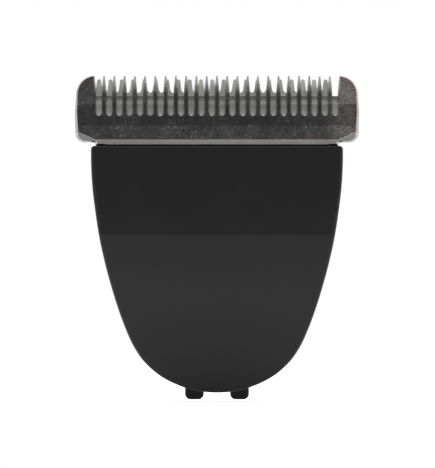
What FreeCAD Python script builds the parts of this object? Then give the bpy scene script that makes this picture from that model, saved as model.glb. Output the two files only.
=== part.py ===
"""Detachable cutting head of a cordless pet trimmer.

Millimetres. +X across the blade, +Z up towards the tooth tips, -Y towards the skin side.
Origin: the point where the clipper's drive axis (parallel to Y) crosses the rear seat plane.
Heights named H_... are measured up from the tips of the two hinge lugs; z = H - H_DRIVE.
"""
import FreeCAD
import Part
import math
import os

V = FreeCAD.Vector

# ---------------------------------------------------------------- driving dimensions
H_DRIVE = 24.0            # drive axis above the lug tips
# depths, front is negative
Y_SEAT = 0.0              # rear face of the carrier flange
Y_PART = -1.6             # parting plane between cover and carrier flange
Y_COMB_F = -13.0          # skin face of the comb
Y_COMB_B = -11.0          # cutting plane of the comb
Y_TAB_F = -11.85          # front of the comb's mounting tab
# comb
COMB_TIP_H = 42.13
COMB_PITCH = 1.335
COMB_SLOTS = 24
SLOT_FLOOR_H = 37.02
COMB_HALF_W = 18.50
COMB_DRAFT = 0.34
# cutter
CUT_PITCH = 1.4714
CUT_TEETH = 21
CUT_TIP_H = 41.62
CUT_ROOT_H = 39.9
CUT_RELIEF_H = 39.45
CUT_T = 1.0
HOLLOW_R = 3.0            # hollow-ground relief: radius, depth and height of its middle
HOLLOW_DEPTH = 0.44
HOLLOW_H = 37.92
SLIDE_GAP = 0.02
CUT_REST_X = -0.60        # the stored pose, measured from the middle of the stroke
Y_CUT_F = Y_COMB_B + SLIDE_GAP
Y_CUT_B = Y_CUT_F + CUT_T
# cover
COVER_TOP_H = 32.96
COVER_WALL = 1.3
CREASE_H = 21.42
# hinge lugs
LUG_W = 2.46
LUG_TIP_H = -0.12
# screws and pins
COMB_SCREW = (12.3, 28.1)
COMB_PIN = (12.3, 25.75)
COVER_SCREW = (10.15, 11.6)
PLATE_SCREW = (13.55, 34.9)
# drive slot in the yoke
SLOT_W = 4.6
SLOT_H = 7.8
# springs
SPRING_X = 7.0
SPRING_H = 34.7
WIRE_D = 0.4
SPRING_R = 1.3
LIFT = 0.8                # the cutter can be pushed this far off the comb


def Z(h):
    return h - H_DRIVE


# ---------------------------------------------------------------- helpers
def box(x0, x1, y0, y1, h0, h1):
    return Part.makeBox(x1 - x0, y1 - y0, h1 - h0, V(x0, y0, Z(h0)))


def cyl_y(x, h, y0, y1, r):
    return Part.makeCylinder(r, y1 - y0, V(x, y0, Z(h)), V(0, 1, 0))


def cone_y(x, h, y0, y1, r0, r1):
    return Part.makeCone(r0, r1, y1 - y0, V(x, y0, Z(h)), V(0, 1, 0))


def wire_xz(pts, y):
    return Part.makePolygon([V(x, y, Z(h)) for x, h in list(pts) + [pts[0]]])


def prism_xz(pts, y0, y1):
    return Part.Face(wire_xz(pts, y0)).extrude(V(0, y1 - y0, 0))


def prism_yz(pts, x0, x1):
    w = Part.makePolygon([V(x0, y, Z(h)) for y, h in list(pts) + [pts[0]]])
    return Part.Face(w).extrude(V(x1 - x0, 0, 0))


def mirror_x(s):
    return s.mirror(V(0, 0, 0), V(1, 0, 0))


def both(s):
    return [s, mirror_x(s)]


def fuse(shapes):
    out = shapes[0].multiFuse(shapes[1:]) if len(shapes) > 1 else shapes[0]
    return out.removeSplitter()


def try_fillet(shape, r, pick):
    edges = [e for e in shape.Edges if pick(e)]
    if not edges:
        print("no edges for fillet", r)
        return shape
    try:
        f = shape.makeFillet(r, edges)
        if f.isValid() and f.Volume > 0.5 * shape.Volume:
            return f
    except Exception as ex:
        print("fillet failed:", ex)
    done = shape
    n = 0
    for c in [e.CenterOfMass for e in edges]:
        near = [e for e in done.Edges if (e.CenterOfMass - c).Length < 1e-3]
        if not near:
            continue
        try:
            f = done.makeFillet(r, near[:1])
            if f.isValid() and f.Volume > 0.5 * shape.Volume:
                done = f
                n += 1
        except Exception:
            pass
    print("single fillets made:", n, "of", len(edges))
    return done


# ---------------------------------------------------------------- cover outline
# half width against height, from the top edge down to the middle of the bottom
OUT = [(COVER_TOP_H, 16.38), (30.46, 16.37), (28.45, 16.27), (26.53, 16.1), (24.52, 15.84), (22.61, 15.57),
       (20.6, 15.22), (18.69, 14.81), (16.68, 14.32), (14.77, 13.79), (12.76, 13.19), (10.85, 12.55),
       (8.86, 11.79), (7.29, 11.09), (6.13, 10.43), (4.92, 9.55), (3.77, 8.4), (2.99, 7.39),
       (2.21, 6.04), (1.72, 4.93), (1.17, 3.32), (0.89, 1.72), (0.8, 0.0)]


def outline_points(inset):
    """The cover outline moved inwards by inset, right side top to bottom middle."""
    res = []
    n = len(OUT)
    for i, (h, x) in enumerate(OUT):
        if i == 0:
            t = (OUT[1][1] - x, OUT[1][0] - h)
        elif i == n - 1:
            t = (-1.0, 0.0)
        else:
            t = (OUT[i + 1][1] - OUT[i - 1][1], OUT[i + 1][0] - OUT[i - 1][0])
        ln = math.hypot(*t)
        # tangent runs down and inwards; the inward normal is to its right
        nx, nh = t[1] / ln, -t[0] / ln
        res.append((x + nx * inset, h + nh * inset))
    return res


def outline_prism(inset, y0, y1, top_h):
    right = [p for p in outline_points(inset) if p[0] >= -1e-9]
    right[-1] = (0.0, right[-1][1])
    pts = [V(x, y0, Z(h)) for x, h in right] + [V(-x, y0, Z(h)) for x, h in reversed(right[:-1])]
    c = Part.BSplineCurve()
    c.interpolate(pts)
    first, last = pts[0], pts[-1]
    up1 = V(first.x, y0, Z(top_h))
    up2 = V(last.x, y0, Z(top_h))
    edges = [c.toShape()]
    if abs(first.z - Z(top_h)) > 1e-6:
        edges += [Part.makeLine(last, up2), Part.makeLine(up2, up1), Part.makeLine(up1, first)]
    else:
        edges += [Part.makeLine(last, first)]
    return Part.Face(Part.Wire(edges)).extrude(V(0, y1 - y0, 0))


# front of the cover in the YZ plane: (height, y)
FRONT_TOP = (COVER_TOP_H, -12.9)
FRONT_CREASE = (CREASE_H, -12.545)
FRONT_LOW = [FRONT_CREASE, (16.0, -11.62), (11.0, -10.3), (6.0, -8.32), (3.0, -6.62), (0.9, -5.05), (-0.6, -3.7)]


def front_solid(shift, y_back, top_h, half_w=25.0, top_shift=None):
    """Everything behind the cover's front surface moved back by shift."""
    ts = shift if top_shift is None else top_shift
    low = [V(-half_w, y + shift, Z(h)) for h, y in FRONT_LOW]
    c = Part.BSplineCurve()
    c.interpolate(low)
    a = V(-half_w, FRONT_TOP[1] + ts - (top_h - COVER_TOP_H) * 0.0345, Z(top_h))
    edges = [Part.makeLine(a, low[0])] if ts == shift else None
    if edges is None:
        b = V(-half_w, FRONT_TOP[1] + ts + 0.14, Z(24.0))
        edges = [Part.makeLine(a, b), Part.makeLine(b, low[0])]
    edges.append(c.toShape())
    end = low[-1]
    e2 = V(-half_w, y_back, end.z)
    e3 = V(-half_w, y_back, Z(top_h))
    edges += [Part.makeLine(end, e2), Part.makeLine(e2, e3), Part.makeLine(e3, a)]
    return Part.Face(Part.Wire(edges)).extrude(V(2 * half_w, 0, 0))


def make_front_cover():
    outer = outline_prism(0.0, -16.0, Y_PART, COVER_TOP_H).common(front_solid(0.0, Y_PART, COVER_TOP_H))

    def silhouette(e):
        b = e.BoundBox
        # the long edges where the front face meets the side wall, and the two top front corners
        if b.YMax > Y_PART - 0.05 and b.YLength < 0.01:
            return False
        return b.YMax < Y_PART - 0.3 and b.ZLength > 5

    outer = try_fillet(outer, 0.5, silhouette)

    def top_front(e):
        b = e.BoundBox
        return b.XLength > 20 and b.ZLength < 0.02 and b.YMax < -12 and b.ZMin > Z(COVER_TOP_H) - 0.05

    outer = try_fillet(outer, 0.2, top_front)

    # round the two top corners as seen from the front
    cr, cx = 0.5, OUT[0][1]
    corner = box(cx - cr, cx + 1, -16, 0, COVER_TOP_H - cr, COVER_TOP_H + 1).cut(cyl_y(cx - cr, COVER_TOP_H - cr, -17, 1, cr))
    for c in both(corner):
        outer = outer.cut(c)

    inner = outline_prism(COVER_WALL, -18.0, 3.0, 40.0).common(front_solid(1.2, 3.0, 40.0, top_shift=0.86))
    cover = outer.cut(inner)
    adds = []
    inner_keep = outline_prism(COVER_WALL - 0.4, -18.0, 3.0, 40.0).common(front_solid(0.5, 3.0, 40.0))
    # screw bosses
    bx, bh = COVER_SCREW
    for s in (1, -1):
        adds.append(cyl_y(s * bx, bh, -14.0, Y_PART - 0.05, 1.45))
        adds.append(box(min(s * bx, s * (bx + 3)), max(s * bx, s * (bx + 3)), -14.0, -3.2, bh - 0.4, bh + 0.4))
    # stiffening ribs inside the nose
    for x in (-5.2, 0.0, 5.2):
        adds.append(prism_yz([(-14.0, 3.0), (-14.0, 18.4), (-9.6, 18.4), (-9.2, 17.0), (-7.8, 11.0), (-6.6, 7.0), (-5.0, 3.0)],
                             x - 0.4, x + 0.4))
    adds.append(prism_yz([(-14, 17.6), (-9.6, 17.6), (-9.6, 18.4), (-14, 18.4)], -12.5, 12.5))
    ribs = fuse(adds).common(inner_keep)
    cover = fuse([cover, ribs])
    for s in (1, -1):
        cover = cover.cut(cyl_y(s * bx, bh, -7.3, Y_PART + 0.1, 0.67))
    return cover


def make_carrier():
    # rear flange, a U-shaped ring that closes the cover
    flange = outline_prism(0.5, Y_PART, Y_SEAT, 33.6)
    flange = try_fillet(flange, 0.3, lambda e: e.BoundBox.YMin > Y_SEAT - 0.01 and e.BoundBox.ZLength > 0.5)
    flange = flange.common(box(-20, 20, -5, 5, -5, 32.6))
    # nose opening
    hole_pts = []
    for x, h in outline_points(3.6):
        if x >= 0 and h < 27.0:
            hole_pts.append((min(x, 10.2), h))
    hole_pts[-1] = (0.0, hole_pts[-1][1])
    right = [(10.2, 29.6)] + hole_pts
    pts = right + [(-x, h) for x, h in reversed(right[:-1])]
    opening = prism_xz(pts, -2.2, 1.0)
    body = [flange.cut(opening)]
    # skirt that locates the carrier inside the cover
    skirt = outline_prism(COVER_WALL + 0.12, -5.0, Y_PART + 0.2, 32.6).cut(
        outline_prism(COVER_WALL + 1.12, -6.0, 1.0, 40.0)).common(box(-20, 20, -8, 0, 7.2, 32.6))
    bx, bh = COVER_SCREW
    for s in (1, -1):
        skirt = skirt.cut(cyl_y(s * bx, bh, -9.0, Y_PART, 1.6))
        skirt = skirt.cut(box(min(s * bx, s * (bx + 4)), max(s * bx, s * (bx + 4)), -9.0, Y_PART - 1.2, bh - 0.55, bh + 0.55))
    body.append(skirt)
    # crossbar above the opening
    body.append(box(-14.85, 14.85, -3.4, Y_SEAT, 29.6, 32.6))
    for s in (1, -1):
        a, b = sorted((s * 9.9, s * 14.15))
        col = box(a, b, Y_COMB_B, Y_PART + 0.4, 24.75, 30.0)
        body.append(col)
        # upper pillar behind the comb's ear
        a, b = sorted((s * 10.6, s * 14.85))
        pil = box(a, b, -9.0, -2.4, 29.9, 37.4)
        pil = try_fillet(pil, 0.5, lambda e: e.BoundBox.YLength > 6 and e.BoundBox.ZMin > Z(37.0))
        body.append(pil)
        # lip over the cover's side wall, under the comb's ear
        a, b = sorted((s * 14.0, s * 15.75))
        body.append(box(a, b, -9.0, -2.4, COVER_TOP_H + 0.04, 33.6))
        # web between column and flange
        a, b = sorted((s * 9.9, s * 11.0))
        body.append(prism_yz([(-9.6, 24.8), (-1.4, 16.5), (-1.4, 24.8)], a, b))
        # hinge lug
        lx = s * 2.95
        lug = box(lx - LUG_W / 2, lx + LUG_W / 2, -1.5, 0.0, LUG_TIP_H, 4.2)
        lug = try_fillet(lug, 0.72, lambda e: e.BoundBox.YLength > 1.4 and e.BoundBox.ZMax < Z(LUG_TIP_H + 0.1))
        lug = try_fillet(lug, 0.3, lambda e: e.BoundBox.YLength < 0.2 and e.BoundBox.XLength > 0.3
                         and e.BoundBox.ZMax < Z(1.0))
        body.append(lug)
        # lug root gusset on the front side
        body.append(box(lx - LUG_W / 2, lx + LUG_W / 2, -1.55, -0.6, 2.2, 5.4))
    c = fuse(body)
    # bridge channels through the pillars
    c = c.cut(box(-12.05, 12.05, -9.5, -2.0, 33.15, 36.25))
    # comb screw holes and counterbores
    for s in (1, -1):
        x, h = s * COMB_SCREW[0], COMB_SCREW[1]
        c = c.cut(cyl_y(x, h, -12.0, 1.0, 1.05))
        c = c.cut(cyl_y(x, h, -3.0, 1.0, 1.85))
        x, h = s * COMB_PIN[0], COMB_PIN[1]
        c = c.cut(cyl_y(x, h, -12.0, -7.5, 0.6))
        x, h = s * COVER_SCREW[0], COVER_SCREW[1]
        c = c.cut(cyl_y(x, h, -2.5, 1.0, 0.75))
        c = c.cut(cyl_y(x, h, -1.0, 1.0, 1.3))
        x, h = s * PLATE_SCREW[0], PLATE_SCREW[1]
        c = c.cut(cyl_y(x, h, -7.4, -1.0, 0.72))
    # catch pocket, open at the bottom and the rear
    c = c.cut(box(-3.5, 3.5, -2.9, 1.0, 29.0, 32.0))
    c = c.cut(box(-4.4, 4.4, -2.9, 1.0, 30.15, 32.0))
    # recess and pilot holes for the catch plate
    c = c.cut(box(-6.7, 6.7, -0.7, 1.0, 29.8, 32.35))
    for s in (1, -1):
        c = c.cut(cyl_y(s * 5.6, 31.05, -2.6, 0.0, 0.42))
    return c.removeSplitter()


def comb_outline(y, inset):
    """Closed outline of the comb blank on the plane y: ears, notches and mounting tab."""
    def m(x, h):
        k = inset / COMB_HALF_W
        up = (h - 38.0) / 4.5
        return V(x * (1 - k), y, Z(h - inset * max(-1.0, min(1.0, up)) * 0.6))
    p = [m(-15.93, COMB_TIP_H), m(-17.5, 41.47), m(-18.31, 39.85)]
    q, r, t = m(-COMB_HALF_W, 37.4), m(-18.42, 34.65), m(-17.2, 33.41)
    left = [Part.Arc(p[0], p[1], p[2]).toShape(), Part.makeLine(p[2], q), Part.makeLine(q, r),
            Part.Arc(r, m(-18.06, 33.78), t).toShape()]
    pts = [t, m(-15.98, 33.41), m(-15.82, 33.25), m(-15.82, 33.03), m(-14.75, 33.03), m(-14.75, 30.2),
           m(-14.1, 28.6), m(-14.1, 25.4), m(-13.3, 24.6)]
    left += [Part.makeLine(pts[i], pts[i + 1]) for i in range(len(pts) - 1)]
    right = [e.mirror(V(0, 0, 0), V(1, 0, 0)) for e in left]
    top = Part.makeLine(p[0], V(-p[0].x, y, p[0].z))
    bottom = Part.makeLine(pts[-1], V(-pts[-1].x, y, pts[-1].z))
    return Part.Wire(Part.__sortEdges__([top] + left + [bottom] + right))


def slot_tool(y_back, y_front, back, front, floor_b, floor_f):
    """A tooth gap, lofted from its outline on the cutting plane to its wider outline at the skin face."""
    def ring(y, prof, floor):
        r = prof[0][1]
        pts = []
        # rounded floor
        for k in range(9):
            a = math.pi * k / 8
            pts.append((-r * math.cos(a), floor + r - r * math.sin(a)))
        right = [(w, h) for h, w in prof[1:]]
        left = [(-w, h) for h, w in prof[1:]]
        pts = pts + right + list(reversed(left))
        return wire_xz(pts, y)
    return Part.makeLoft([ring(y_back, back, floor_b), ring(y_front, front, floor_f)], True, True)


def make_comb():
    # the sides lean in by COMB_DRAFT from the cutting plane to the skin face
    blank = Part.makeLoft([comb_outline(Y_COMB_B, 0.0), comb_outline(Y_COMB_F, COMB_DRAFT)], True, True)
    # step down to the tab, with the sloping shoulder under the polished face
    blank = blank.cut(prism_yz([(-15, 20), (-15, 38.06), (Y_COMB_F, 33.72), (-12.7, 33.12), (-12.35, 33.07), (Y_TAB_F, 33.03), (Y_TAB_F, 20)], -30, 30))
    # ground slope from the face down to the thin tooth tips
    blank = blank.cut(prism_yz([(-15, 35.6), (-13.0, 35.6), (-12.5, 38.4), (-11.42, 42.2), (-11.1, 43.2), (-15, 43.2)], -30, 30))
    # wider bevel under each ear, deepest at the outer corner
    ax, ah, bx, bh = -18.4, 34.87, -15.7, 33.70
    dx, dh = bx - ax, bh - ah
    ln = math.hypot(dx, dh)
    dx, dh = dx / ln, dh / ln
    nx, nh = dh, -dx          # across the line, pointing down and outwards
    def P(n, y):
        return V(ax - dx + n * nx, y, Z(ah - dh + n * nh))
    k = 0.62
    tri = Part.makePolygon([P(0, -13.0), P(2.6, -13.0 + 2.6 * k), P(2.6, -15), P(-0.4, -15), P(-0.4, -13.0 - 0.4 * k), P(0, -13.0)])
    wedge = Part.Face(tri).extrude(V(dx, 0, dh) * (ln + 2))
    wedge = wedge.common(box(-20, -15.72, -16, -10, 33.0, 36.5))
    for wd in both(wedge):
        blank = blank.cut(wd)
    back = [(0, 0.31), (39.3, 0.315), (40.5, 0.372), (41.4, 0.465), (42.15, 0.568), (43.4, 0.66)]
    front = [(0, 0.44), (39.2, 0.455), (40.4, 0.52), (41.2, 0.60), (42.15, 0.655), (43.4, 0.664)]
    tool = slot_tool(Y_COMB_B + 0.1, Y_COMB_F - 0.1, back, front, SLOT_FLOOR_H, SLOT_FLOOR_H - 0.12)
    tools = []
    for i in range(COMB_SLOTS):
        t = tool.copy()
        t.translate(V((i - (COMB_SLOTS - 1) / 2) * COMB_PITCH, 0, 0))
        tools.append(t)
    comb = blank.cut(Part.makeCompound(tools))
    for s in (1, -1):
        comb = comb.cut(cyl_y(s * COMB_SCREW[0], COMB_SCREW[1], -14, -10, 0.97))
        comb = comb.cut(cyl_y(s * COMB_PIN[0], COMB_PIN[1], -14, -10, 0.61))
    return comb


def make_cutter():
    y0, y1 = Y_CUT_F, Y_CUT_B
    body_pts = [(-16.9, CUT_RELIEF_H), (-16.9, 34.9), (-16.3, 34.3), (-13.9, 34.3), (-13.1, 33.5), (-13.1, 31.7), (-12.6, 31.2)]
    pts = body_pts + [(-x, h) for x, h in reversed(body_pts)]
    body = prism_xz(pts, y0, y1)
    half = CUT_PITCH * (CUT_TEETH - 1) / 2 + 0.24
    base = CUT_PITCH * (CUT_TEETH - 1) / 2 + 0.47
    strip_pts = [(-base, CUT_RELIEF_H - 0.02), (-base, CUT_ROOT_H), (-base + 0.03, 40.2), (-half - 0.02, CUT_TIP_H - 0.14), (-half + 0.12, CUT_TIP_H)]
    strip_pts = strip_pts + [(-x, h) for x, h in reversed(strip_pts)]
    cutter = fuse([body, prism_xz(strip_pts, y0, y1)])
    # hollow grind behind the comb's gaps, and a shallow relief between it and the lower bearing rail
    cutter = cutter.cut(Part.makeCylinder(HOLLOW_R, 60, V(-30, y0 + HOLLOW_DEPTH - HOLLOW_R, Z(HOLLOW_H)), V(1, 0, 0)))
    cutter = cutter.cut(box(-30, 30, y0 - 1, y0 + 0.15, 32.25, HOLLOW_H - 1.2))
    # teeth thin towards their tips on the rear side
    cutter = cutter.cut(prism_yz([(y1 + 0.5, 39.0), (y1, 39.0), (y0 + 0.55, CUT_TIP_H), (y0 + 0.5, 42.5), (y1 + 0.5, 42.5)], -30, 30))
    prof = [(0, 0.26), (40.25, 0.335), (40.75, 0.395), (41.48, 0.498), (41.60, 0.575), (42.4, 0.70)]
    wider = [(h, w + (0.03 if h else 0.0)) for h, w in prof]
    wider[0] = (0, 0.29)
    wider[-1] = (42.4, 0.725)
    tool = slot_tool(y1 + 0.1, y0 - 0.1, wider, prof, CUT_ROOT_H - 0.02, CUT_ROOT_H)
    tools = []
    for i in range(CUT_TEETH - 1):
        t = tool.copy()
        t.translate(V((i - (CUT_TEETH - 2) / 2) * CUT_PITCH, 0, 0))
        tools.append(t)
    cutter = cutter.cut(Part.makeCompound(tools))
    for s in (1, -1):
        cutter = cutter.cut(cyl_y(s * 5.8, 33.2, -12, -9, 0.62))
        cutter = cutter.cut(cyl_y(s * 5.8, 33.2, -12, y0 + 0.36, 0.8))
    cutter.translate(V(CUT_REST_X, 0, 0))
    return cutter


def make_driver():
    yf, yr = Y_CUT_B, -8.0
    plate = box(-8.0, 8.0, yf, yr, 31.5, 36.9)
    plate = try_fillet(plate, 0.8, lambda e: e.BoundBox.YLength > 1.5)
    neck = box(-4.3, 4.3, -9.7, -6.6, 26.0, 32.7)
    fork = box(-4.4, 4.4, -9.7, -4.5, 18.9, 28.4)
    fork = try_fillet(fork, 1.2, lambda e: e.BoundBox.YLength > 5)
    ramp = prism_yz([(-6.7, 31.2), (-4.5, 28.4), (-4.5, 27.0), (-6.7, 27.0)], -2.2, 2.2)
    d = fuse([plate, neck, fork, ramp])
    # vertical drive slot, open to the rear, with a lead-in
    w = SLOT_W / 2
    a, b = H_DRIVE - SLOT_H / 2, H_DRIVE + SLOT_H / 2
    slot = box(-w, w, -9.0, -4.0, a, b)
    slot = try_fillet(slot, 0.5, lambda e: e.BoundBox.YLength > 3)
    d = d.cut(slot)
    lead = Part.makeLoft([Part.makePolygon([V(-w, -5.0, Z(a)), V(w, -5.0, Z(a)), V(w, -5.0, Z(b)), V(-w, -5.0, Z(b)), V(-w, -5.0, Z(a))]),
                          Part.makePolygon([V(-w - 0.55, -4.4, Z(a - 0.3)), V(w + 0.55, -4.4, Z(a - 0.3)), V(w + 0.55, -4.4, Z(b + 0.3)),
                                            V(-w - 0.55, -4.4, Z(b + 0.3)), V(-w - 0.55, -4.4, Z(a - 0.3))])], True, True)
    d = d.cut(lead)
    # groove that runs along the bridge's rib
    d = d.cut(box(-10, 10, -8.8, -7.0, 34.3, 35.1))
    # cored-out pockets either side of the neck
    for s in (1, -1):
        a, b = sorted((s * 5.0, s * 7.3))
        d = d.cut(box(a, b, -9.2, -7.0, 35.6, 36.4))
        d = d.cut(cyl_y(s * 5.8, 33.2, -8.6, -7.0, 1.06))
        d = d.cut(cyl_y(s * 5.8, 33.2, -11, -7.0, 0.62))
    d.translate(V(CUT_REST_X, 0, 0))
    return d


def make_rivets():
    out = []
    for s in (1, -1):
        x, h = s * 5.8 + CUT_REST_X, 33.2
        r = fuse([cyl_y(x, h, -10.63, -8.58, 0.6), cyl_y(x, h, Y_CUT_F + 0.12, Y_CUT_F + 0.35, 0.78),
                  cyl_y(x, h, -8.6, -8.08, 1.0)])
        r = r.cut(cyl_y(x, h, -8.45, -7.5, 0.3))
        out.append(r)
    return Part.makeCompound(out)


def make_bridge():
    b = box(-12.0, 12.0, -7.98, -6.1, 33.2, 36.2)
    b = try_fillet(b, 0.3, lambda e: e.BoundBox.YLength > 1.5)
    parts = [b, box(-10.4, 10.4, -8.7, -7.9, 34.35, 35.05)]
    for s in (1, -1):
        parts.append(cyl_y(s * SPRING_X, SPRING_H, -6.2, -5.0, 0.85))
    b = fuse(parts)
    # lightening pockets on the rear face
    b = b.cut(box(-3.6, 3.6, -7.2, -5.5, 33.9, 35.5))
    for s in (1, -1):
        a, c = sorted((s * 9.6, s * 11.3))
        b = b.cut(box(a, c, -7.2, -5.5, 33.9, 35.5))
    return b


def make_spring(x):
    """Compression spring with one closed coil at each end."""
    y0, y1 = -6.1, -2.4
    r = WIRE_D / 2
    a, b = y0 + r + 0.02, y1 - r - 0.02
    dead, active = 1.0, 3.5
    turns = 2 * dead + active
    close = WIRE_D + 0.03
    rise = (b - a - 2 * dead * close) / active
    n = 16
    pts, y = [], a
    count = int(round(turns * n))
    for k in range(count + 1):
        t = k / n
        ang = 2 * math.pi * t
        pts.append(V(x + SPRING_R * math.cos(ang), y, Z(SPRING_H) + SPRING_R * math.sin(ang)))
        pitch = close if (t < dead or t >= turns - dead) else rise
        y += pitch / n
    c = Part.BSplineCurve()
    c.interpolate(pts)
    edge = c.toShape()
    tan = edge.tangentAt(edge.FirstParameter)
    prof = Part.Wire([Part.makeCircle(r, pts[0], tan)])
    return Part.Wire([edge]).makePipeShell([prof], True, True)


def phillips(x, h, y_top, depth=0.55, arm=0.85, t=0.26):
    """The cross recess of a small screw, seen from the rear."""
    a = box(x - arm, x + arm, y_top - depth, y_top + 0.5, h - t / 2, h + t / 2)
    b = box(x - t / 2, x + t / 2, y_top - depth, y_top + 0.5, h - arm, h + arm)
    c = cone_y(x, h, y_top - depth - 0.1, y_top + 0.02, 0.12, 0.42 * arm)
    return fuse([a, b, c])


def screw(x, h, y_head, head_r, head_t, shank_r, y_end, arm):
    """A pan head screw driven from the rear; y_head is the seat under the head."""
    head = cyl_y(x, h, y_head, y_head + head_t, head_r)
    head = try_fillet(head, min(head_t * 0.55, 0.45), lambda e: e.BoundBox.YMin > y_head + head_t - 0.01)
    shank = cyl_y(x, h, y_end + 0.3, y_head + 0.05, shank_r)
    tip = cone_y(x, h, y_end, y_end + 0.3, shank_r * 0.6, shank_r)
    s = fuse([head, shank, tip])
    return s.cut(phillips(x, h, y_head + head_t, depth=head_t * 0.55, arm=arm, t=arm * 0.34))


def make_comb_screws():
    return Part.makeCompound([screw(s * COMB_SCREW[0], COMB_SCREW[1], -3.0, 1.65, 1.2, 0.95, -11.84, 0.95) for s in (1, -1)])


def make_cover_screws():
    return Part.makeCompound([screw(s * COVER_SCREW[0], COVER_SCREW[1], -1.0, 1.15, 0.8, 0.65, -7.0, 0.7) for s in (1, -1)])


def make_plate_screws():
    return Part.makeCompound([screw(s * PLATE_SCREW[0], PLATE_SCREW[1], -1.7, 1.2, 0.8, 0.7, -7.0, 0.7) for s in (1, -1)])


def make_catch_plate_screws():
    return Part.makeCompound([screw(s * 5.6, 31.05, -0.38, 0.72, 0.3, 0.4, -2.5, 0.45) for s in (1, -1)])


def make_pins():
    out = []
    for s in (1, -1):
        p = cyl_y(s * COMB_PIN[0], COMB_PIN[1], -11.8, -7.6, 0.595)
        p = try_fillet(p, 0.15, lambda e: e.BoundBox.YLength < 0.01)
        out.append(p)
    return Part.makeCompound(out)


def make_spring_plate():
    p = box(-14.9, 14.9, -2.4, -1.7, 32.75, 37.25)
    p = try_fillet(p, 0.6, lambda e: e.BoundBox.YLength > 0.6 and e.BoundBox.XLength < 0.01)
    parts = [p]
    for s in (1, -1):
        parts.append(cone_y(s * SPRING_X, SPRING_H, -2.95, -2.35, 0.6, 0.85))
    # stiffening flange along the top edge, bent forwards
    parts.append(box(-9.6, 9.6, -3.3, -1.7, 36.75, 37.25))
    p = fuse(parts)
    for s in (1, -1):
        p = p.cut(cone_y(s * SPRING_X, SPRING_H, -2.6, -1.69, 0.35, 0.62))
        p = p.cut(cyl_y(s * PLATE_SCREW[0], PLATE_SCREW[1], -4, 0, 0.8))
    p = p.cut(box(-2.6, 2.6, -4, 0, 33.9, 35.5))
    return p


def make_catch():
    c = fuse([box(-3.4, 3.4, -2.8, -0.8, 28.75, 30.95), box(-4.3, 4.3, -2.8, -0.8, 30.2, 30.95)])
    c = try_fillet(c, 0.6, lambda e: e.BoundBox.XLength > 6 and e.BoundBox.ZMax < Z(28.8))
    return c


def make_catch_spring():
    """A bowed leaf between the catch and the roof of its pocket."""
    a, b = 30.99, 31.97
    t = 0.18
    def arc(h_end, h_mid, half):
        return Part.Arc(V(-half, -2.6, Z(h_end)), V(0, -2.6, Z(h_mid)), V(half, -2.6, Z(h_end))).toShape()
    lo = arc(a, b - t, 3.6)
    hi = arc(a + t, b, 3.6)
    e1 = Part.makeLine(V(-3.6, -2.6, Z(a)), V(-3.6, -2.6, Z(a + t)))
    e2 = Part.makeLine(V(3.6, -2.6, Z(a)), V(3.6, -2.6, Z(a + t)))
    w = Part.Wire(Part.__sortEdges__([lo, hi, e1, e2]))
    return Part.Face(w).extrude(V(0, 1.6, 0))


def make_catch_plate():
    p = box(-6.6, 6.6, -0.68, -0.1, 29.88, 32.3)
    p = try_fillet(p, 0.4, lambda e: e.BoundBox.YLength > 0.5)
    for s in (1, -1):
        p = p.cut(cyl_y(s * 5.6, 31.05, -2, 1, 0.47))
        p = p.cut(cyl_y(s * 5.6, 31.05, -0.4, 1, 0.8))
    return p


PARTS = {
    "front_cover": make_front_cover,
    "blade_carrier": make_carrier,
    "comb_blade": make_comb,
    "comb_screws": make_comb_screws,
    "locating_pins": make_pins,
    "spring_plate": make_spring_plate,
    "spring_plate_screws": make_plate_screws,
    "cover_screws": make_cover_screws,
    "snap_catch": make_catch,
    "catch_spring": make_catch_spring,
    "catch_plate": make_catch_plate,
    "catch_plate_screws": make_catch_plate_screws,
    "pressure_bridge": make_bridge,
    "pressure_spring_left": lambda: make_spring(-SPRING_X),
    "pressure_spring_right": lambda: make_spring(SPRING_X),
    "cutter_blade": make_cutter,
    "cutter_driver": make_driver,
    "driver_rivets": make_rivets,
}


def main():
    os.makedirs("parts", exist_ok=True)
    for name, make in PARTS.items():
        s = make()
        sol = s.Solids
        if len(sol) == 1:
            s = sol[0]
        else:
            s = Part.makeCompound(sol)
        print(name, "solids", len(sol), "valid", s.isValid(), "vol %.2f" % s.Volume, "closed", all(x.isClosed() for x in sol))
        s.exportStep("parts/%s.step" % name)


main()
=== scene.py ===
import bpy
import math
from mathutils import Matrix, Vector


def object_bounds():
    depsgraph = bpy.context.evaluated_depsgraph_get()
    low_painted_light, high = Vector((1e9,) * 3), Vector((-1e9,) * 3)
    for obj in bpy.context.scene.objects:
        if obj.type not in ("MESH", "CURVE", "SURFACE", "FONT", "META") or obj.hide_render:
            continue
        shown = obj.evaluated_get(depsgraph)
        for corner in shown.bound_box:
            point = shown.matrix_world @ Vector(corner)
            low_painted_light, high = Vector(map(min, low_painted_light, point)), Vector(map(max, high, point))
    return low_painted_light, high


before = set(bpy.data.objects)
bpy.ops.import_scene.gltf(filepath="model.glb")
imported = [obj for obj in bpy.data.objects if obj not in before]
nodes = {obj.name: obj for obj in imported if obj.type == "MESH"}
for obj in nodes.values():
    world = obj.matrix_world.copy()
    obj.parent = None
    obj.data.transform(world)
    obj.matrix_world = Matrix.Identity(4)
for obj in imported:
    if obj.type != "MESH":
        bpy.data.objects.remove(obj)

cad_lo, cad_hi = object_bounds()
scene = bpy.context.scene

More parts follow.
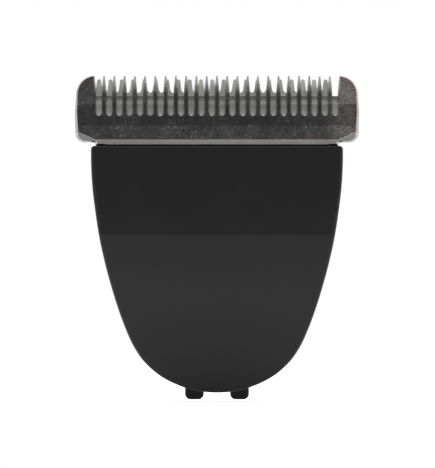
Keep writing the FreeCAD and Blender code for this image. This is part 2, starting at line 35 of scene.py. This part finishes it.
# ------------------------------------------------------------------ camera
FRAME_W, FRAME_H = 435, 468
MM_PER_PX = 0.13
DIST = 2.0
cam_data = bpy.data.cameras.new("camera")
cam_data.sensor_fit = "AUTO"
cam_data.sensor_width = 36.0
cam_data.lens = 36.0 * DIST / (FRAME_H * MM_PER_PX / 1000.0)
cam_data.clip_start = 0.05
cam_data.clip_end = 20.0
cam = bpy.data.objects.new("camera", cam_data)
scene.collection.objects.link(cam)
FRONT_Y = -0.0125
cam.location = (0.00007, FRONT_Y - DIST, -0.0025)
cam.rotation_euler = (math.radians(90.0), 0.0, 0.0)
scene.camera = cam

scene.view_settings.view_transform = "Standard"
scene.view_settings.look = "None"
scene.view_settings.exposure = 0.0
scene.view_settings.gamma = 1.0


WORLD_BRIGHT = 0.85
WORLD_DARK = 0.055
FLOOR_GLOW = 0.35
FLOOR_FRONT = -0.20

# ------------------------------------------------------------------ node helpers
class Mat:
    """A small builder for procedural materials."""

    def __init__(self, name):
        self.m = bpy.data.materials.new(name)
        self.m.use_nodes = True
        self.t = self.m.node_tree
        self.t.nodes.clear()
        self.out = self.add("ShaderNodeOutputMaterial")
        self.bsdf = self.add("ShaderNodeBsdfPrincipled")
        self.link(self.bsdf.outputs[0], self.out.inputs["Surface"])
        tc = self.add("ShaderNodeTexCoord")
        self.co = tc.outputs["Object"]
        self.nrm = tc.outputs["Normal"]
        self.round = None

    def add(self, kind, **props):
        n = self.t.nodes.new(kind)
        for k, v in props.items():
            setattr(n, k, v)
        return n

    def link(self, a, b):
        self.t.links.new(a, b)

    def mapped(self, scale, rot=(0, 0, 0), loc=(0, 0, 0)):
        n = self.add("ShaderNodeMapping")
        n.inputs["Scale"].default_value = scale
        n.inputs["Rotation"].default_value = rot
        n.inputs["Location"].default_value = loc
        self.link(self.co, n.inputs["Vector"])
        return n.outputs[0]

    def noise(self, scale, detail=2.0, rough=0.5, vec=None, distortion=0.0):
        n = self.add("ShaderNodeTexNoise")
        n.inputs["Scale"].default_value = scale
        n.inputs["Detail"].default_value = detail
        n.inputs["Roughness"].default_value = rough
        n.inputs["Distortion"].default_value = distortion
        self.link(vec if vec is not None else self.co, n.inputs["Vector"])
        return n.outputs["Fac"]

    def ramp(self, fac, stops):
        n = self.add("ShaderNodeValToRGB")
        els = n.color_ramp.elements
        while len(els) < len(stops):
            els.new(0.5)
        for e, (p, c) in zip(els, stops):
            e.position = p
            e.color = (*c, 1.0)
        self.link(fac, n.inputs["Fac"])
        return n.outputs["Color"]

    def span(self, fac, a, b, lo=0.0, hi=1.0, smooth=False):
        n = self.add("ShaderNodeMapRange")
        if smooth:
            n.interpolation_type = "SMOOTHSTEP"
        n.inputs["From Min"].default_value = a
        n.inputs["From Max"].default_value = b
        n.inputs["To Min"].default_value = lo
        n.inputs["To Max"].default_value = hi
        self.link(fac, n.inputs["Value"])
        return n.outputs["Result"]

    def math(self, op, a, b=None):
        n = self.add("ShaderNodeMath", operation=op)
        for i, v in enumerate((a, b)):
            if v is None:
                continue
            if isinstance(v, (int, float)):
                n.inputs[i].default_value = v
            else:
                self.link(v, n.inputs[i])
        return n.outputs[0]

    def mix(self, fac, a, b, blend="MIX"):
        n = self.add("ShaderNodeMix", data_type="RGBA", blend_type=blend)
        for s, v in zip((n.inputs[0], n.inputs[6], n.inputs[7]), (fac, a, b)):
            if isinstance(v, (int, float)):
                s.default_value = v
            elif isinstance(v, tuple):
                s.default_value = (*v, 1.0)
            else:
                self.link(v, s)
        return n.outputs[2]

    def xyz(self, vec=None):
        n = self.add("ShaderNodeSeparateXYZ")
        self.link(vec if vec is not None else self.co, n.inputs[0])
        return n.outputs

    def rounded(self, radius):
        """Edges broken to a radius, for the shading only."""
        n = self.add("ShaderNodeBevel", samples=6)
        n.inputs["Radius"].default_value = radius
        self.round = n.outputs["Normal"]

    def worn(self, lo, hi, most):
        """0 on the flats, rising to most where the broken edges turn."""
        d = self.add("ShaderNodeVectorMath", operation="DOT_PRODUCT")
        self.link(self.round, d.inputs[0])
        self.link(self.add("ShaderNodeNewGeometry").outputs["Normal"], d.inputs[1])
        return self.span(self.math("SUBTRACT", 1.0, d.outputs["Value"]), lo, hi, 0.0, most)

    def bump(self, layers):
        """layers: (height socket, strength, distance in metres), chained."""
        prev = self.round
        for h, strength, dist in layers:
            n = self.add("ShaderNodeBump")
            n.inputs["Strength"].default_value = strength
            n.inputs["Distance"].default_value = dist
            self.link(h, n.inputs["Height"])
            if prev is not None:
                self.link(prev, n.inputs["Normal"])
            prev = n.outputs["Normal"]
        self.link(prev, self.bsdf.inputs["Normal"])

    def color(self, sock):
        self.link(sock, self.bsdf.inputs["Base Color"])

    def rough(self, sock):
        self.link(sock, self.bsdf.inputs["Roughness"])

    def set(self, **kw):
        for k, v in kw.items():
            self.bsdf.inputs[k.replace("_", " ")].default_value = v


def plastic(name, lo, hi, rough, grain=0.25, edge=(0.03, 0.03, 0.03), radius=0.00012, spec=0.35):
    """Moulded satin plastic: spark-eroded grain, faint flow marks, a few rubbed marks, edges a little shinier."""
    m = Mat(name)
    m.rounded(radius)
    broad = m.noise(140.0, 3.0, 0.55)
    fine = m.noise(5200.0, 2.0, 0.6)
    speck = m.noise(14000.0, 1.0, 0.5)
    rub = m.noise(1.0, 2.0, 0.5, vec=m.mapped((2600.0, 900.0, 420.0)))
    base = m.ramp(broad, [(0.3, lo), (0.7, hi)])
    base = m.mix(m.span(fine, 0.35, 0.75, 0.0, 0.35), base, tuple(1.25 * c for c in hi))
    base = m.mix(m.span(rub, 0.70, 0.80, 0.0, 0.5), base, tuple(1.7 * c for c in hi))
    worn = m.worn(0.02, 0.25, 0.5)
    base = m.mix(worn, base, edge)
    m.color(base)
    r = m.span(broad, 0.3, 0.7, rough - 0.02, rough + 0.02)
    r = m.math("ADD", r, m.span(speck, 0.3, 0.7, -0.03, 0.03))
    r = m.math("SUBTRACT", r, m.math("MULTIPLY", worn, 0.12))
    m.rough(r)
    m.bump([(fine, grain, 0.000022), (speck, grain * 0.6, 0.000008)])
    m.set(Specular_IOR_Level=spec)
    return m


def ground_steel(name, lo, hi, rough, along="x", line=0.25, radius=0.00006, edge=(0.75, 0.75, 0.74)):
    """Ground steel: fine parallel scratches, cloudy tone and small pits, edges broken bright."""
    m = Mat(name)
    if radius:
        m.rounded(radius)
    sc = (350.0, 9000.0, 15000.0) if along == "x" else (15000.0, 9000.0, 420.0)
    lines = m.noise(1.0, 3.0, 0.65, vec=m.mapped(sc))
    cloud = m.noise(260.0, 4.0, 0.6)
    speck = m.noise(7000.0, 2.0, 0.6)
    base = m.ramp(cloud, [(0.3, lo), (0.7, hi)])
    base = m.mix(m.span(lines, 0.35, 0.7, 0.0, 0.5), base, tuple(min(1.0, 1.18 * c) for c in hi))
    base = m.mix(m.span(speck, 0.55, 0.8, 0.0, 0.35), base, tuple(0.6 * c for c in lo))
    if radius:
        base = m.mix(m.worn(0.02, 0.3, 0.6), base, edge)
    m.color(base)
    r = m.span(cloud, 0.3, 0.7, rough - 0.04, rough + 0.05)
    r = m.math("ADD", r, m.span(lines, 0.3, 0.7, -0.05, 0.06))
    m.rough(r)
    m.bump([(lines, line, 0.000006), (speck, 0.18, 0.000006)])
    m.set(Metallic=1.0)
    return m


def comb_finish(name):
    """The comb's polished skin face: fine grit marks and bright specks, a duller ground bevel below it with painted
    shade, and a brown painted reflection that follows the outer edge of the ears and the lower edge of the face."""
    m = Mat(name)
    m.rounded(0.00011)
    x, y, z = m.xyz()[0:3]
    nx, ny, nz = m.xyz(m.nrm)[0:3]
    cloud = m.noise(380.0, 4.0, 0.6)
    grit = m.noise(5200.0, 3.0, 0.7)
    mottle = m.noise(2300.0, 3.0, 0.6)
    spark = m.noise(3800.0, 1.0, 0.4)
    lines = m.noise(1.0, 3.0, 0.65, vec=m.mapped((700.0, 9000.0, 12000.0)))
    face = m.span(ny, -0.915, -0.945, 0.0, 1.0)
    base = m.ramp(cloud, [(0.34, COMB_LO), (0.66, COMB_HI)])
    base = m.mix(m.math("MULTIPLY", face, m.span(mottle, 0.42, 0.60, 0.0, 0.45)), base, tuple(1.45 * c for c in COMB_HI))
    base = m.mix(m.math("MULTIPLY", m.span(face, 0.0, 1.0, 0.3, 1.0), m.span(grit, 0.46, 0.64, 0.0, 0.6)), base, tuple(0.40 * c for c in COMB_LO))
    base = m.mix(m.span(lines, 0.5, 0.75, 0.0, 0.3), base, tuple(1.2 * c for c in COMB_HI))
    # painted reflection: the right ear is painted a little paler and browner
    right = m.math("MULTIPLY", face, m.span(x, 0.0125, 0.0175, 0.0, 1.0, smooth=True))
    base = m.mix(m.math("MULTIPLY", right, m.span(mottle, 0.35, 0.60, 0.35, 1.0)), base, (0.60, 0.55, 0.53))
    # painted highlight: the teeth are painted brighter towards the tip; they are also darker at their waist
    teeth = m.span(m.math("ABSOLUTE", x), 0.01615, 0.0159, 0.0, 1.0)
    tips_painted_highlight = m.math("MULTIPLY", teeth, m.span(z, 0.0157, 0.0174, 0.0, 1.0))
    waist = m.math("MULTIPLY", m.span(z, 0.0141, 0.0147, 0.0, 1.0), m.span(z, 0.0161, 0.0156, 0.0, 1.0))
    base = m.mix(tips_painted_highlight, base, (0.70, 0.70, 0.69))
    base = m.mix(m.math("MULTIPLY", teeth, waist), base, (0.70, 0.70, 0.70), blend="MULTIPLY")
    # painted reflection: a brown band painted along the ears' edge, stronger on the right
    dx = m.math("MAXIMUM", m.math("SUBTRACT", m.math("ABSOLUTE", x), 0.0159), 0.0)
    dz = m.math("MAXIMUM", m.math("SUBTRACT", z, 0.0157), 0.0)
    d = m.math("SQRT", m.math("ADD", m.math("MULTIPLY", dx, dx), m.math("MULTIPLY", dz, dz)))
    ear_edge_painted_reflection = m.span(d, 0.00160, 0.00200, 0.0, 1.0, smooth=True)
    ear_edge_painted_reflection = m.math("MULTIPLY", ear_edge_painted_reflection, m.span(x, -0.012, 0.012, 0.22, 0.60))
    ear_edge_painted_reflection = m.math("MULTIPLY", ear_edge_painted_reflection, m.math("MULTIPLY", m.math("SUBTRACT", 1.0, teeth), m.span(ny, -0.55, -0.9, 0.0, 1.0)))
    base = m.mix(ear_edge_painted_reflection, base, (0.54, 0.34, 0.28))
    # painted reflection: the same brown painted along the lower edge of the face
    low_painted_light = m.math("MULTIPLY", m.span(z, 0.0104, 0.0098, 0.0, 0.7, smooth=True), m.span(cloud, 0.42, 0.58, 0.3, 1.0))
    low_painted_light = m.math("MULTIPLY", low_painted_light, face)
    base = m.mix(low_painted_light, base, (0.44, 0.30, 0.27))
    # painted shade: the walls of the gaps between the teeth are painted darker
    side = m.math("MULTIPLY", m.span(m.math("ABSOLUTE", ny), 0.60, 0.40, 0.0, 1.0), m.span(m.math("ABSOLUTE", x), 0.01615, 0.0159, 0.0, 1.0))
    side = m.math("MULTIPLY", side, m.math("MULTIPLY", m.span(z, 0.0122, 0.0127, 0.0, 1.0), m.span(z, 0.0170, 0.0158, 0.0, 1.0)))
    base = m.mix(side, base, GAP_PAINTED_SHADE, blend="MULTIPLY")
    # painted shade: the bevel below the face is painted darker; it is also ground duller (rougher)
    bevel_dull_and_shaded = m.span(nz, -0.20, -0.36, 0.0, 1.0)
    base = m.mix(bevel_dull_and_shaded, base, BEVEL_PAINTED_SHADE, blend="MULTIPLY")
    base = m.mix(m.math("MULTIPLY", face, m.span(spark, 0.64, 0.72, 0.0, 0.7)), base, (0.92, 0.92, 0.91))
    m.color(base)
    r = m.span(cloud, 0.3, 0.7, 0.17, 0.22)
    r = m.math("ADD", r, m.span(grit, 0.40, 0.72, -0.02, 0.09))
    r = m.math("ADD", r, m.math("MULTIPLY", bevel_dull_and_shaded, 0.12))
    r = m.math("ADD", r, m.math("MULTIPLY", right, 0.06))
    r = m.math("ADD", r, m.math("MULTIPLY", tips_painted_highlight, 0.13))
    m.rough(r)
    m.bump([(lines, 0.12, 0.000006), (grit, 0.30, 0.000006)])
    m.set(Metallic=1.0)
    return m


def cutter_finish(name):
    """The moving cutter: ground across its thickness, with painted shade darkening it where the hollow meets the teeth.
    """
    m = ground_steel(name, (0.60, 0.61, 0.57), (0.74, 0.75, 0.70), 0.46, along="z", line=0.3, radius=0.00004)
    z = m.xyz()[2]
    base = m.bsdf.inputs["Base Color"].links[0].from_socket
    # painted shade: darker where the hollow meets the teeth
    hollow = m.math("MULTIPLY", m.span(z, 0.0141, 0.0153, 0.0, 1.0, smooth=True), m.span(z, 0.01546, 0.01542, 0.0, 1.0))
    base = m.mix(hollow, base, (0.36, 0.36, 0.345), blend="MULTIPLY")
    # the lower end of the hollow is rougher and less metallic, and painted brighter as painted light
    low_painted_light = m.math("MULTIPLY", m.span(z, 0.0148, 0.0136, 0.0, 1.0, smooth=True), m.span(z, 0.0120, 0.0125, 0.0, 1.0))
    m.color(m.mix(low_painted_light, base, (0.92, 0.93, 0.89)))
    rough = m.bsdf.inputs["Roughness"].links[0].from_socket
    m.rough(m.math("ADD", rough, m.math("MULTIPLY", low_painted_light, 0.22)))
    m.link(m.math("SUBTRACT", 1.0, m.math("MULTIPLY", low_painted_light, 0.7)), m.bsdf.inputs["Metallic"])
    return m


def assign(node, mat):
    o = nodes[node]
    o.data.materials.clear()
    o.data.materials.append(mat.m)


# ------------------------------------------------------------------ materials
COMB_LO, COMB_HI = (0.31, 0.31, 0.315), (0.39, 0.39, 0.385)
# painted shade multipliers for the comb's gap walls and for the bevel below its face
GAP_PAINTED_SHADE = (0.22, 0.22, 0.216)
BEVEL_PAINTED_SHADE = (0.38, 0.385, 0.38)
cover = plastic("cover_plastic", (0.0036, 0.0038, 0.0037), (0.0045, 0.0047, 0.0046), 0.42, edge=(0.014, 0.014, 0.014), spec=0.26)
carrier = plastic("carrier_plastic", (0.0038, 0.0038, 0.0039), (0.0054, 0.0054, 0.0055), 0.48, grain=0.15, edge=(0.014, 0.014, 0.014))
comb = comb_finish("comb_steel")
cutter = cutter_finish("cutter_steel")
plate = ground_steel("plate_steel", (0.48, 0.48, 0.47), (0.60, 0.60, 0.58), 0.33, along="x", line=0.25)
screw = ground_steel("screw_steel", (0.50, 0.49, 0.47), (0.62, 0.61, 0.59), 0.24, along="z", line=0.10, radius=0.00004)
wire = ground_steel("spring_steel", (0.40, 0.385, 0.36), (0.58, 0.56, 0.53), 0.28, along="x", line=0.15, radius=0.0)
yoke = plastic("yoke_plastic", (0.60, 0.59, 0.545), (0.66, 0.65, 0.60), 0.42, grain=0.08, edge=(0.70, 0.69, 0.65))
bridge = plastic("bridge_plastic", (0.010, 0.010, 0.010), (0.016, 0.016, 0.016), 0.36, grain=0.08)
catch = plastic("catch_plastic", (0.030, 0.030, 0.031), (0.042, 0.042, 0.043), 0.38, grain=0.08, edge=(0.08, 0.08, 0.08))

for n, m in {
    "front_cover": cover, "blade_carrier": carrier, "comb_blade": comb, "cutter_blade": cutter,
    "comb_screws": screw, "locating_pins": screw, "spring_plate": plate, "spring_plate_screws": screw,
    "cover_screws": screw, "snap_catch": catch, "catch_spring": wire, "catch_plate": plate,
    "catch_plate_screws": screw, "pressure_bridge": bridge, "pressure_spring_left": wire,
    "pressure_spring_right": wire, "cutter_driver": yoke, "driver_rivets": screw,
}.items():
    assign(n, m)

# ------------------------------------------------------------------ studio
world = bpy.data.worlds.new("studio")
scene.world = world
world.use_nodes = True
wt = world.node_tree
wt.nodes.clear()


def wnode(kind, **props):
    n = wt.nodes.new(kind)
    for k, v in props.items():
        setattr(n, k, v)
    return n


# a white room whose side towards -Y is dark, as the flags round a product camera are
w_dir = wnode("ShaderNodeTexCoord")
w_sep = wnode("ShaderNodeSeparateXYZ")
wt.links.new(w_dir.outputs["Generated"], w_sep.inputs[0])
w_dark = wnode("ShaderNodeMapRange", interpolation_type="SMOOTHSTEP")
w_dark.inputs["From Min"].default_value = -0.30
w_dark.inputs["From Max"].default_value = -0.86
w_dark.inputs["To Min"].default_value = WORLD_BRIGHT
w_dark.inputs["To Max"].default_value = WORLD_DARK
wt.links.new(w_sep.outputs["Y"], w_dark.inputs["Value"])
w_light = wnode("ShaderNodeBackground")
w_light.inputs["Color"].default_value = (1.0, 1.0, 1.0, 1.0)
wt.links.new(w_dark.outputs["Result"], w_light.inputs["Strength"])
w_seen = wnode("ShaderNodeBackground")
w_seen.inputs["Color"].default_value = (1.0, 1.0, 1.0, 1.0)
w_seen.inputs["Strength"].default_value = 1.0
w_path = wnode("ShaderNodeLightPath")
w_mix = wnode("ShaderNodeMixShader")
wt.links.new(w_path.outputs["Is Camera Ray"], w_mix.inputs["Fac"])
wt.links.new(w_light.outputs[0], w_mix.inputs[1])
wt.links.new(w_seen.outputs[0], w_mix.inputs[2])
w_out = wnode("ShaderNodeOutputWorld")
wt.links.new(w_mix.outputs[0], w_out.inputs["Surface"])


def stage_quad(name, x0, x1, y0, y1, z):
    me = bpy.data.meshes.new(name)
    me.from_pydata([(x0, y0, z), (x1, y0, z), (x1, y1, z), (x0, y1, z)], [], [(0, 1, 2, 3)])
    o = bpy.data.objects.new(name, me)
    scene.collection.objects.link(o)
    return o


floor = stage_quad("floor", -0.6, 0.6, FLOOR_FRONT, 0.6, cad_lo.z - 0.0002)
fm = Mat("floor_paper")
fm.color(fm.ramp(fm.noise(30.0, 3.0, 0.5), [(0.3, (0.90, 0.90, 0.90)), (0.7, (0.93, 0.93, 0.93))]))
# a lit table: white from below, so that only a faint contact shadow is left
fm.set(Roughness=0.95, Specular_IOR_Level=0.1, Emission_Color=(1.0, 1.0, 1.0, 1.0), Emission_Strength=FLOOR_GLOW)
floor.data.materials.append(fm.m)


def area(name, loc, target, size, size_y, power, color=(1, 1, 1)):
    d = bpy.data.lights.new(name, "AREA")
    d.shape = "RECTANGLE"
    d.size, d.size_y = size, size_y
    d.energy = power
    d.color = color
    o = bpy.data.objects.new(name, d)
    o.location = loc
    o.rotation_mode = "QUATERNION"
    o.rotation_quaternion = (Vector(target) - Vector(loc)).to_track_quat("-Z", "Y")
    scene.collection.objects.link(o)
    return o


area("top_softbox", (0.0, 0.05, 0.8), (0, 0, 0), 0.9, 0.6, 3.5)
area("front_softbox", (0.0, -0.38, 0.76), (0, 0, 0), 0.36, 0.36, 2.8)
